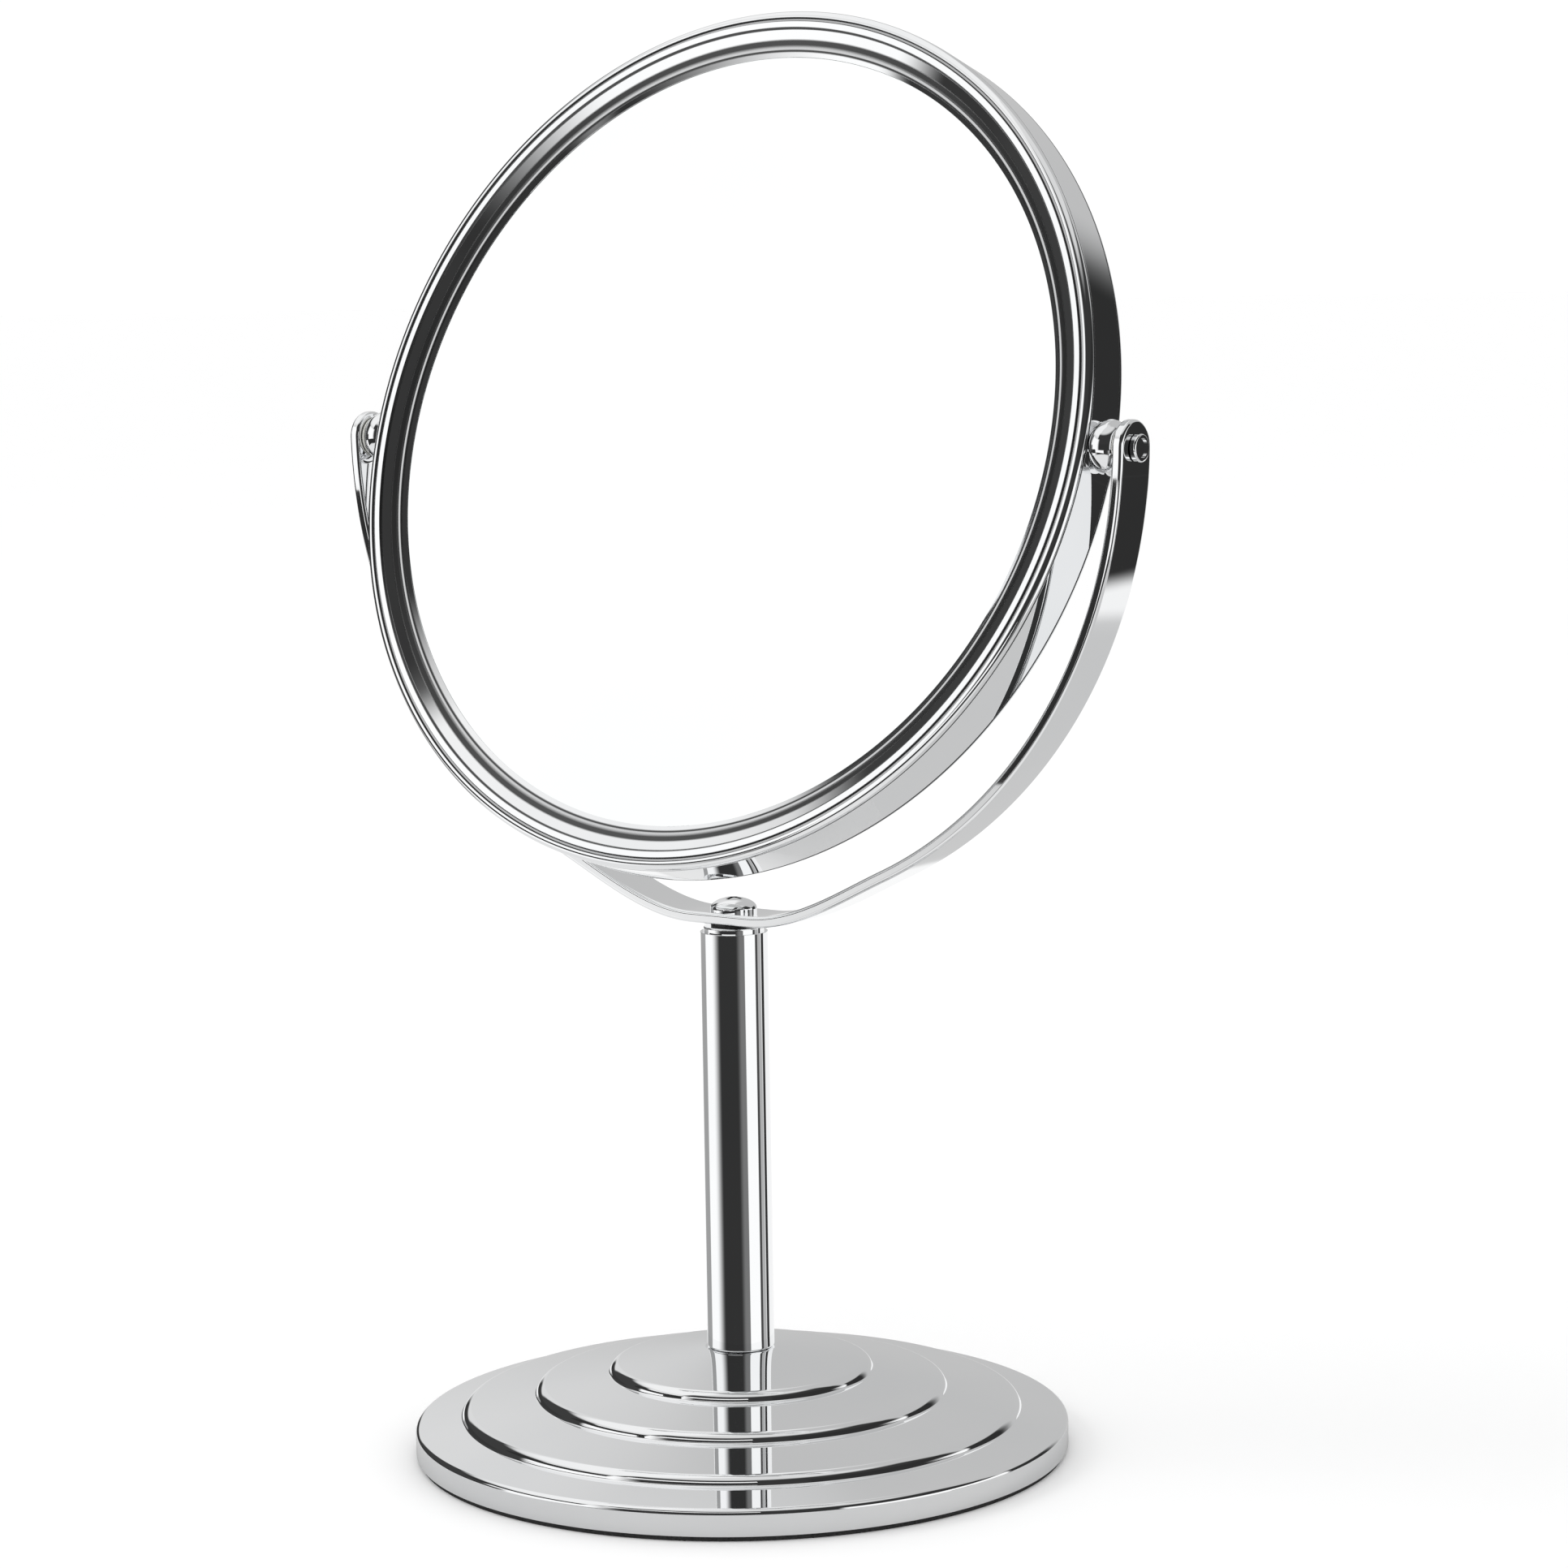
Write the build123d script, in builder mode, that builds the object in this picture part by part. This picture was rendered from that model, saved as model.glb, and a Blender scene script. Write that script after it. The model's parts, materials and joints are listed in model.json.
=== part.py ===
from build123d import *
import math
import os

# Countertop pedestal mirror: a round, double-sided mirror head that turns in a U-shaped yoke,
# on a tube stem and a weighted, stepped base.
# Frame: origin at the centre of the base's underside, +X along the pivot line, the mirror faces -Y, +Z up.

# ---- Driving dimensions (mm) ----
# Base
base_radius = 75.0
pad_radius = 74.2
pad_thickness = 1.2
rim_top_z = 7.0
rim_slope = 0.19
tread_slope = 0.16
riser_height = 2.0
riser_draft = 0.7
riser_radii = (64.3, 47.3, 30.3)
seat_radius = 8.2
rim_round = 1.3
step_round = 2.4
shell_thickness = 1.0
plate_thickness = 0.9
plate_hole_radius = 14.0
weight_radius = 61.0
weight_top_z = 8.0
weight_boss_radius = 22.0
weight_boss_z = 17.5
weight_tip_radius = 6.6
bolt_pocket_radius = 9.0
bolt_pocket_top_z = 9.2

# Stem
stem_radius = 7.7
stem_wall = 1.2
stem_top_z = 120.2
stem_edge_round = 0.7
foot_plug_length = 20.0
top_plug_length = 18.0
collar_radius = 6.9
collar_thickness = 1.3
collar_round = 0.4
plug_gap = 0.02

# Base bolt (M6) and its washer
bolt_radius = 3.0
bolt_head_width = 10.0
bolt_head_height = 4.0
bolt_length = 32.0
washer_radius = 6.5
washer_thickness = 1.2
thread_gap = 0.05
hole_gap = 0.2

# Yoke and its clamping screw (M5)
pivot_z = 231.0
arm_inner_x = 105.2
strip_thickness = 2.6
strip_width = 12.0
strip_edge_round = 0.8
yoke_arc_rise = 2.0
yoke_bend_x = 45.0
yoke_flat_x = 8.0
yoke_washer_radius = 5.2
yoke_washer_thickness = 0.7
yoke_screw_radius = 2.5
yoke_screw_length = 15.0
yoke_screw_head_radius = 5.3
yoke_screw_head_edge = 0.6
yoke_screw_head_height = 3.1
cross_length = 4.6
cross_width = 0.9
cross_depth = 1.3

# Mirror head: radii from its own axis, and half thicknesses from its middle plane
tilt_angle = 18.0
ring_radius = 99.0
band_thickness = 0.8
band_half_width = 5.2
bezel_joint_gap = 0.1
bezel_top = 7.0
bezel_skin = 0.7
bezel_bead_radius = 94.9
bezel_cone_outer_radius = 94.5
bezel_cone_outer_top = 6.45
bezel_cone_inner_radius = 90.4
bezel_lip_radius = 88.6
bezel_lip_top = 4.85
bezel_skirt_low = 3.4
bezel_corner_round = 1.5
bezel_bead_round = 0.3
bezel_lip_round = 0.5
glass_radius = 93.0
glass_face = 4.05
front_glass_thickness = 2.0
back_glass_thickness = 1.8
back_glass_curve_radius = 1300.0
backing_thickness = 0.35
core_outer_radius = 94.9
core_inner_radius = 90.5
core_wall_inner_radius = 93.3
core_wall_top = 3.9
core_front = 1.6
core_back = 1.3
cushion_outer_radius = 92.8
cushion_inner_radius = 91.0
cushion_thickness = 0.7

# Pivots: positions along X on the right-hand side
pivot_radius = 1.5
pivot_running_gap = 0.05
pivot_start_x = 95.1
pivot_head_x = 108.0
pivot_head_radius = 3.0
pivot_head_height = 1.3
pivot_dish_radius = 2.1
pivot_dish_depth = 0.4
spacer_radius = 6.0
spacer_ring_end_radius = 4.2
spacer_arm_end_radius = 4.6
spacer_sink = 0.9
spacer_end_x = 104.3
friction_washer_radius = 4.6
friction_washer_end_x = 104.9
friction_washer_thickness = 0.4
nut_size = 6.0
nut_start_x = 95.2
nut_thickness = 2.6
saddle_gap = 0.02

# ---- Derived values ----
seat_z = rim_top_z + rim_slope * (base_radius - riser_radii[0])
inner_starts = [radius - riser_draft for radius in riser_radii]
for start, stop in zip(inner_starts, list(riser_radii[1:]) + [seat_radius]):
    seat_z += riser_height + tread_slope * (start - stop)
shell_seat_z = seat_z - shell_thickness * (1 + tread_slope)
collar_top_z = stem_top_z + collar_thickness
yoke_bottom_z = collar_top_z + yoke_washer_thickness
yoke_top_z = yoke_bottom_z + strip_thickness
arm_outer_x = arm_inner_x + strip_thickness
arm_middle_x = arm_inner_x + strip_thickness / 2
tube_inner_radius = stem_radius - stem_wall
plug_radius = tube_inner_radius - plug_gap

tilt = math.radians(tilt_angle)
pivot_point = (0, 0, pivot_z)
facing = (0, -math.cos(tilt), math.sin(tilt))
ring_axis = Axis(pivot_point, facing)
pivot_axis = Axis(pivot_point, (1, 0, 0))
# ring_plane lies in the head's middle plane, with its normal out of the front glass.
ring_plane = Plane(origin=pivot_point, x_dir=(1, 0, 0), z_dir=facing)
# In ring_section, x is the distance from the head's axis and y the height above its middle plane.
ring_section = Plane(origin=pivot_point, x_dir=(1, 0, 0), z_dir=(0, -math.sin(tilt), -math.cos(tilt)))
# In pivot_section, x runs along the pivot line and y is the distance from it.
pivot_section = Plane(origin=pivot_point, x_dir=(1, 0, 0), z_dir=(0, -1, 0))


def stepped_points(inset):
    """The stepped outline of the base from the rim inwards, moved inwards by inset."""
    points = [(base_radius - inset, pad_thickness)]
    height = rim_top_z - inset
    start = base_radius - inset
    points.append((start, height))
    slope = rim_slope
    for radius in riser_radii:
        stop = radius - inset
        height += slope * (start - stop)
        points.append((stop, height))
        start = stop - riser_draft
        height += riser_height
        points.append((start, height))
        slope = tread_slope
    height += tread_slope * (start - seat_radius)
    points.append((seat_radius, height))
    points.append((0, height))
    points.append((0, pad_thickness))
    return points


def bezel_points(side):
    """The section of a bezel: side is 1 for the front and -1 for the back."""
    cone_drop = (bezel_cone_outer_top - bezel_lip_top) / (bezel_cone_outer_radius - bezel_cone_inner_radius)
    under_top = bezel_top - bezel_skin
    under_lip = bezel_lip_top - bezel_skin
    skirt_outer = ring_radius - band_thickness - plug_gap
    joint = band_half_width + bezel_joint_gap
    points = [
        (ring_radius, joint),
        (ring_radius, bezel_top),
        (bezel_bead_radius, bezel_top),
        (bezel_cone_outer_radius, bezel_cone_outer_top),
        (bezel_cone_inner_radius, bezel_lip_top),
        (bezel_lip_radius, bezel_lip_top),
        (bezel_lip_radius, under_lip),
        (bezel_cone_inner_radius, under_lip),
        (bezel_cone_outer_radius, under_lip + cone_drop * (bezel_cone_outer_radius - bezel_cone_inner_radius)),
        (bezel_bead_radius, under_top),
        (skirt_outer - bezel_skin, under_top),
        (skirt_outer - bezel_skin, bezel_skirt_low),
        (skirt_outer, bezel_skirt_low),
        (skirt_outer, joint),
    ]
    return [(radius, side * height) for radius, height in points]


def bezel_corner(corners, radius, height):
    """The corner of a bezel section at a radius and a height from the middle plane."""
    return [
        corner
        for corner in corners
        if math.isclose(corner.X, radius, abs_tol=0.01) and math.isclose(abs(corner.Y), height, abs_tol=0.01)
    ]


os.makedirs("parts", exist_ok=True)

# ---- Stand ----

# Black foam disc that the base stands on.
with BuildPart() as base_pad:
    with BuildSketch(Plane.XY):
        Circle(pad_radius)
    extrude(amount=pad_thickness)
base_pad.part.label = "base_pad"

# Thin steel plate inside the rim, which keeps the weight in.
with BuildPart() as base_bottom_plate:
    with BuildSketch(Plane.XY.offset(pad_thickness)):
        Circle(base_radius - shell_thickness - hole_gap)
        Circle(plate_hole_radius, mode=Mode.SUBTRACT)
    extrude(amount=plate_thickness)
base_bottom_plate.part.label = "base_bottom_plate"

# Spun steel cover: a tall rim and three raised, rounded steps.
with BuildPart() as base_shell:
    with BuildSketch(Plane.XZ) as outer_outline:
        with BuildLine():
            Polyline(*stepped_points(0), close=True)
        make_face()
        rim_corner = [corner for corner in outer_outline.vertices() if corner.X > base_radius - 0.01]
        fillet(sorted(rim_corner, key=lambda corner: corner.Y)[-1], rim_round)
        crests = [
            corner
            for corner in outer_outline.vertices()
            if any(math.isclose(corner.X, radius, abs_tol=0.01) for radius in inner_starts)
        ]
        fillet(crests, step_round)
    revolve(axis=Axis.Z)
    with BuildSketch(Plane.XZ):
        with BuildLine():
            Polyline(*stepped_points(shell_thickness), close=True)
        make_face()
    revolve(axis=Axis.Z, mode=Mode.SUBTRACT)
    with BuildSketch(Plane.XY.offset(seat_z - 2 * shell_thickness)):
        Circle(bolt_radius + hole_gap)
    extrude(amount=3 * shell_thickness, mode=Mode.SUBTRACT)
base_shell.part.label = "base_shell"

# Cast iron weight with a central boss that meets the underside of the cover, and a pocket for the bolt's head.
weight_bottom_z = pad_thickness + plate_thickness
with BuildPart() as base_weight:
    with BuildSketch(Plane.XZ):
        with BuildLine():
            Polyline(
                (bolt_radius + hole_gap, bolt_pocket_top_z),
                (bolt_radius + hole_gap, shell_seat_z - plug_gap),
                (weight_tip_radius, shell_seat_z - plug_gap),
                (weight_boss_radius, weight_boss_z),
                (weight_boss_radius, weight_top_z),
                (weight_radius, weight_top_z),
                (weight_radius, weight_bottom_z),
                (bolt_pocket_radius, weight_bottom_z),
                (bolt_pocket_radius, bolt_pocket_top_z),
                close=True,
            )
        make_face()
    revolve(axis=Axis.Z)
base_weight.part.label = "base_weight"

# Plain washer under the bolt's head, against the top of the pocket.
washer_bottom_z = bolt_pocket_top_z - washer_thickness
with BuildPart() as base_washer:
    with BuildSketch(Plane.XY.offset(washer_bottom_z)):
        Circle(washer_radius)
        Circle(bolt_radius + hole_gap, mode=Mode.SUBTRACT)
    extrude(amount=washer_thickness)
base_washer.part.label = "base_washer"

# Hex bolt that pulls the stem down on the base.
with BuildPart() as base_bolt:
    with BuildSketch(Plane.XY.offset(washer_bottom_z - bolt_head_height)):
        RegularPolygon(bolt_head_width / 2, 6, major_radius=False)
    extrude(amount=bolt_head_height)
    with BuildSketch(Plane.XY.offset(washer_bottom_z)):
        Circle(bolt_radius)
    extrude(amount=bolt_length)
base_bolt.part.label = "base_bolt"

# Threaded plug pressed into the bottom of the tube.
with BuildPart() as stem_foot_plug:
    with BuildSketch(Plane.XY.offset(seat_z)):
        Circle(plug_radius)
        Circle(bolt_radius + thread_gap, mode=Mode.SUBTRACT)
    extrude(amount=foot_plug_length)
stem_foot_plug.part.label = "stem_foot_plug"

# Stem tube, with a rounded foot where it meets the base.
with BuildPart() as stem_tube:
    with BuildSketch(Plane.XY.offset(seat_z)):
        Circle(stem_radius)
        Circle(tube_inner_radius, mode=Mode.SUBTRACT)
    extrude(amount=stem_top_z - seat_z)
    foot_edges = stem_tube.edges().filter_by(GeomType.CIRCLE).group_by(Axis.Z)[0]
    fillet(foot_edges.sort_by(SortBy.RADIUS)[-1], stem_edge_round)
stem_tube.part.label = "stem_tube"

# Threaded plug in the top of the tube, with a round-edged collar that sits on the tube's end.
with BuildPart() as stem_top_plug:
    with BuildSketch(Plane.XY.offset(stem_top_z)):
        Circle(collar_radius)
    extrude(amount=collar_thickness)
    fillet(stem_top_plug.edges().group_by(Axis.Z)[-1], collar_round)
    with BuildSketch(Plane.XY.offset(stem_top_z)):
        Circle(plug_radius)
    extrude(amount=-top_plug_length)
    with BuildSketch(Plane.XY.offset(collar_top_z)):
        Circle(yoke_screw_radius + thread_gap)
    extrude(amount=-(top_plug_length + collar_thickness), mode=Mode.SUBTRACT)
stem_top_plug.part.label = "stem_top_plug"

# Black washer between the collar and the yoke.
with BuildPart() as yoke_washer:
    with BuildSketch(Plane.XY.offset(collar_top_z)):
        Circle(yoke_washer_radius)
        Circle(yoke_screw_radius + hole_gap, mode=Mode.SUBTRACT)
    extrude(amount=yoke_washer_thickness)
yoke_washer.part.label = "yoke_washer"

# Yoke: one bent strip with rounded edges. Each half is a straight round-ended arm, a quarter arc and
# a shallow bend down to a short flat on the stem.
arc_centre_z = pivot_z + yoke_arc_rise
bend_z = arc_centre_z - math.sqrt(arm_middle_x**2 - yoke_bend_x**2)
flat_z = yoke_bottom_z + strip_thickness / 2
bend_tangent = (math.sqrt(arm_middle_x**2 - yoke_bend_x**2), yoke_bend_x)
arc_middle = arm_middle_x * math.sqrt(0.5)
arm_top_z = pivot_z + strip_width / 2
with BuildPart() as yoke:
    with BuildLine(Plane.XZ) as yoke_path:
        Line((-arm_middle_x, arm_top_z), (-arm_middle_x, arc_centre_z))
        ThreePointArc(
            (-arm_middle_x, arc_centre_z),
            (-arc_middle, arc_centre_z - arc_middle),
            (-yoke_bend_x, bend_z),
        )
        Spline(
            (-yoke_bend_x, bend_z),
            (-yoke_flat_x, flat_z),
            tangents=[(bend_tangent[0], -bend_tangent[1]), (1, 0)],
        )
        Line((-yoke_flat_x, flat_z), (yoke_flat_x, flat_z))
        Spline(
            (yoke_flat_x, flat_z),
            (yoke_bend_x, bend_z),
            tangents=[(1, 0), bend_tangent],
        )
        ThreePointArc(
            (yoke_bend_x, bend_z),
            (arc_middle, arc_centre_z - arc_middle),
            (arm_middle_x, arc_centre_z),
        )
        Line((arm_middle_x, arc_centre_z), (arm_middle_x, arm_top_z))
    with BuildSketch(Plane(origin=(-arm_middle_x, 0, arm_top_z), x_dir=(1, 0, 0), z_dir=(0, 0, -1))):
        RectangleRounded(strip_thickness, strip_width, strip_edge_round)
    sweep()
    with BuildSketch(Plane.YZ):
        with Locations((0, pivot_z + strip_width / 2)):
            Rectangle(2 * strip_width, strip_width)
        with Locations((0, pivot_z)):
            Circle(strip_width / 2, mode=Mode.SUBTRACT)
    extrude(amount=2 * arm_outer_x, both=True, mode=Mode.SUBTRACT)
    with BuildSketch(Plane.YZ):
        with Locations((0, pivot_z)):
            Circle(pivot_radius + pivot_running_gap)
    extrude(amount=2 * arm_outer_x, both=True, mode=Mode.SUBTRACT)
    with BuildSketch(Plane.XY.offset(yoke_bottom_z - strip_thickness)):
        Circle(yoke_screw_radius + hole_gap)
    extrude(amount=3 * strip_thickness, mode=Mode.SUBTRACT)
yoke.part.label = "yoke"

# Domed screw with a cross recess, which clamps the yoke on the stem.
with BuildPart() as yoke_screw:
    with BuildSketch(Plane.XZ):
        with BuildLine():
            edge_z = yoke_top_z + yoke_screw_head_edge
            top_z = yoke_top_z + yoke_screw_head_height
            shank_end_z = yoke_top_z - strip_thickness - yoke_screw_length
            Polyline(
                (0, top_z),
                (0, shank_end_z),
                (yoke_screw_radius, shank_end_z),
                (yoke_screw_radius, yoke_top_z),
                (yoke_screw_head_radius, yoke_top_z),
                (yoke_screw_head_radius, edge_z),
            )
            EllipticalCenterArc(
                (0, edge_z),
                yoke_screw_head_radius,
                yoke_screw_head_height - yoke_screw_head_edge,
                arc_size=90,
            )
        make_face()
    revolve(axis=Axis.Z)
    with BuildSketch(Plane.XY.offset(top_z)):
        Rectangle(cross_length, cross_width)
        Rectangle(cross_width, cross_length)
    extrude(amount=-cross_depth, mode=Mode.SUBTRACT)
yoke_screw.part.label = "yoke_screw"

# Nylon washer between the right arm and the right spacer.
with BuildPart() as right_friction_washer:
    with BuildSketch(Plane.YZ.offset(friction_washer_end_x - friction_washer_thickness)):
        with Locations((0, pivot_z)):
            Circle(friction_washer_radius)
            Circle(pivot_radius + hole_gap, mode=Mode.SUBTRACT)
    extrude(amount=friction_washer_thickness)
right_friction_washer.part.label = "right_friction_washer"

with BuildPart() as left_friction_washer:
    mirror(right_friction_washer.part, about=Plane.YZ)
left_friction_washer.part.label = "left_friction_washer"

# ---- Mirror head ----

# Cylindrical band, drilled for the two pivot screws.
with BuildPart() as ring_band:
    with BuildSketch(ring_plane):
        Circle(ring_radius)
        Circle(ring_radius - band_thickness, mode=Mode.SUBTRACT)
    extrude(amount=band_half_width, both=True)
    with BuildSketch(Plane.YZ):
        with Locations((0, pivot_z)):
            Circle(pivot_radius + thread_gap)
    extrude(amount=2 * ring_radius, both=True, mode=Mode.SUBTRACT)
ring_band.part.label = "ring_band"

# Front bezel: rounded outer corner, flat bead, sloped face and a lip over the glass, on a skirt inside the band.
with BuildPart() as front_bezel:
    with BuildSketch(ring_section) as front_section:
        with BuildLine():
            Polyline(*bezel_points(1), close=True)
        make_face()
        fillet(bezel_corner(front_section.vertices(), ring_radius, bezel_top), bezel_corner_round)
        fillet(bezel_corner(front_section.vertices(), bezel_bead_radius, bezel_top), bezel_bead_round)
        fillet(bezel_corner(front_section.vertices(), bezel_lip_radius, bezel_lip_top), bezel_lip_round)
    revolve(axis=ring_axis)
front_bezel.part.label = "front_bezel"

# Back bezel: the same section turned over.
with BuildPart() as back_bezel:
    with BuildSketch(ring_section) as back_section:
        with BuildLine():
            Polyline(*bezel_points(-1), close=True)
        make_face()
        fillet(bezel_corner(back_section.vertices(), ring_radius, bezel_top), bezel_corner_round)
        fillet(bezel_corner(back_section.vertices(), bezel_bead_radius, bezel_top), bezel_bead_round)
        fillet(bezel_corner(back_section.vertices(), bezel_lip_radius, bezel_lip_top), bezel_lip_round)
    revolve(axis=ring_axis)
back_bezel.part.label = "back_bezel"

# Plain mirror glass in front.
with BuildPart() as front_glass:
    with BuildSketch(ring_plane.offset(glass_face)):
        Circle(glass_radius)
    extrude(amount=-front_glass_thickness)
front_glass.part.label = "front_glass"

# Card sheet behind the front glass.
with BuildPart() as front_backing:
    with BuildSketch(ring_plane.offset(core_front)):
        Circle(glass_radius)
    extrude(amount=backing_thickness)
front_backing.part.label = "front_backing"

# Bent magnifying glass at the back, hollow towards the viewer.
half_glass = glass_radius / 2
back_curve_top = math.sqrt(back_glass_curve_radius**2 - glass_radius**2)
back_centre = back_glass_curve_radius - back_curve_top - glass_face
back_halfway = math.sqrt(back_glass_curve_radius**2 - half_glass**2) - back_curve_top - glass_face
with BuildPart() as back_glass:
    with BuildSketch(ring_section):
        with BuildLine():
            ThreePointArc((glass_radius, -glass_face), (half_glass, back_halfway), (0, back_centre))
            Line((0, back_centre), (0, back_centre + back_glass_thickness))
            ThreePointArc(
                (0, back_centre + back_glass_thickness),
                (half_glass, back_halfway + back_glass_thickness),
                (glass_radius, back_glass_thickness - glass_face),
            )
            Line((glass_radius, back_glass_thickness - glass_face), (glass_radius, -glass_face))
        make_face()
    revolve(axis=ring_axis)
back_glass.part.label = "back_glass"

# Moulded ring that keeps the two glasses apart and backs the pivot nuts.
with BuildPart() as core_ring:
    with BuildSketch(ring_section):
        with BuildLine():
            Polyline(
                (core_inner_radius, -core_back),
                (core_inner_radius, core_front),
                (core_wall_inner_radius, core_front),
                (core_wall_inner_radius, core_wall_top),
                (core_outer_radius, core_wall_top),
                (core_outer_radius, -core_wall_top),
                (core_wall_inner_radius, -core_wall_top),
                (core_wall_inner_radius, -core_back),
                close=True,
            )
        make_face()
    revolve(axis=ring_axis)
core_ring.part.label = "core_ring"

# Foam ring that presses the back glass against its bezel.
with BuildPart() as back_cushion_ring:
    with BuildSketch(ring_plane.offset(-core_back)):
        Circle(cushion_outer_radius)
        Circle(cushion_inner_radius, mode=Mode.SUBTRACT)
    extrude(amount=-cushion_thickness)
back_cushion_ring.part.label = "back_cushion_ring"

# Polished barrel between the band and the right arm, saddled to the band.
with BuildPart() as right_spacer:
    with BuildSketch(pivot_section):
        with BuildLine():
            ThreePointArc(
                (ring_radius - spacer_sink, spacer_ring_end_radius),
                ((ring_radius - spacer_sink + spacer_end_x) / 2, spacer_radius),
                (spacer_end_x, spacer_arm_end_radius),
            )
            Polyline(
                (spacer_end_x, spacer_arm_end_radius),
                (spacer_end_x, pivot_radius + thread_gap),
                (ring_radius - spacer_sink, pivot_radius + thread_gap),
                (ring_radius - spacer_sink, spacer_ring_end_radius),
            )
        make_face()
    revolve(axis=pivot_axis)
    with BuildSketch(ring_plane):
        Circle(ring_radius + saddle_gap)
    extrude(amount=strip_width, both=True, mode=Mode.SUBTRACT)
right_spacer.part.label = "right_spacer"

with BuildPart() as left_spacer:
    mirror(right_spacer.part, about=Plane.YZ)
left_spacer.part.label = "left_spacer"

# Right pivot screw, with a low dished head outside the arm.
with BuildPart() as right_pivot_screw:
    with BuildSketch(Plane.YZ.offset(pivot_start_x)):
        with Locations((0, pivot_z)):
            Circle(pivot_radius)
    extrude(amount=pivot_head_x - pivot_start_x)
    with BuildSketch(Plane.YZ.offset(pivot_head_x)):
        with Locations((0, pivot_z)):
            Circle(pivot_head_radius)
    extrude(amount=pivot_head_height)
    rim_edge = right_pivot_screw.edges().group_by(Axis.X)[-1]
    fillet(rim_edge, pivot_dish_depth)
    with BuildSketch(Plane.YZ.offset(pivot_head_x + pivot_head_height)):
        with Locations((0, pivot_z)):
            Circle(pivot_dish_radius)
    extrude(amount=-pivot_dish_depth, mode=Mode.SUBTRACT)
right_pivot_screw.part.label = "right_pivot_screw"

with BuildPart() as left_pivot_screw:
    mirror(right_pivot_screw.part, about=Plane.YZ)
left_pivot_screw.part.label = "left_pivot_screw"

# Square nut inside the band, square to the head's middle plane.
nut_plane = Plane(origin=(nut_start_x, 0, pivot_z), x_dir=facing, z_dir=(1, 0, 0))
with BuildPart() as right_pivot_nut:
    with BuildSketch(nut_plane):
        Rectangle(nut_size, nut_size)
        Circle(pivot_radius + thread_gap, mode=Mode.SUBTRACT)
    extrude(amount=nut_thickness)
right_pivot_nut.part.label = "right_pivot_nut"

with BuildPart() as left_pivot_nut:
    mirror(right_pivot_nut.part, about=Plane.YZ)
left_pivot_nut.part.label = "left_pivot_nut"

pieces = [
    base_pad,
    base_bottom_plate,
    base_shell,
    base_weight,
    base_washer,
    base_bolt,
    stem_foot_plug,
    stem_tube,
    stem_top_plug,
    yoke_washer,
    yoke,
    yoke_screw,
    left_friction_washer,
    right_friction_washer,
    ring_band,
    front_bezel,
    back_bezel,
    front_glass,
    front_backing,
    back_glass,
    core_ring,
    back_cushion_ring,
    left_spacer,
    right_spacer,
    left_pivot_screw,
    right_pivot_screw,
    left_pivot_nut,
    right_pivot_nut,
]
for piece in pieces:
    export_step(piece.part, f"parts/{piece.part.label}.step")
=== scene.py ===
import bisect
import json
import math

import bpy
from mathutils import Matrix, Vector


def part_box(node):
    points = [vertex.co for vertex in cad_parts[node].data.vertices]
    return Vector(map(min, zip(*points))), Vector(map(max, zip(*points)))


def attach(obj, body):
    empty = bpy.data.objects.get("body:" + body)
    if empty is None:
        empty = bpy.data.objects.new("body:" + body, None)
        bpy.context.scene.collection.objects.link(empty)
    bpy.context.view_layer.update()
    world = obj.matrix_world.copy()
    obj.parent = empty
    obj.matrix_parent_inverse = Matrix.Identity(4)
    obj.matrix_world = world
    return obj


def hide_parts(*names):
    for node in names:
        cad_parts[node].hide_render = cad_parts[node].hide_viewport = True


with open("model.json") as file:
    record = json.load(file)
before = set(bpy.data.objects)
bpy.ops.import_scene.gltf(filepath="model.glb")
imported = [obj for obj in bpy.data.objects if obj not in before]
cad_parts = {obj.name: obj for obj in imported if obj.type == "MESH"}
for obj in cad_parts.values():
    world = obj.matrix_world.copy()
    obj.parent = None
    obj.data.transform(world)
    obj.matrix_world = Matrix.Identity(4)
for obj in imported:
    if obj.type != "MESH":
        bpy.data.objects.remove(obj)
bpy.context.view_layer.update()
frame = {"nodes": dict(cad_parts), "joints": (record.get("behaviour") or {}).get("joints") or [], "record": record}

MM = 0.001
scene = bpy.context.scene

# ---- Places read from the frame ----
hinge = next(joint for joint in frame["joints"] if joint["name"] == "mirror_flip")
PIVOT = Vector(hinge["pos_m"])
TILT = math.radians(18.0)
FACING = Vector((0, -math.cos(TILT), math.sin(TILT)))
RING_FRAME = Matrix.Translation(PIVOT) @ Matrix.Rotation(math.pi / 2 - TILT, 4, "X")


def node_low(node):
    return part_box(node)[0]


def node_high(node):
    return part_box(node)[1]


# ---- Outlines: lists of runs (start, start_normal, end, end_normal) in a plane ----


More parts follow.
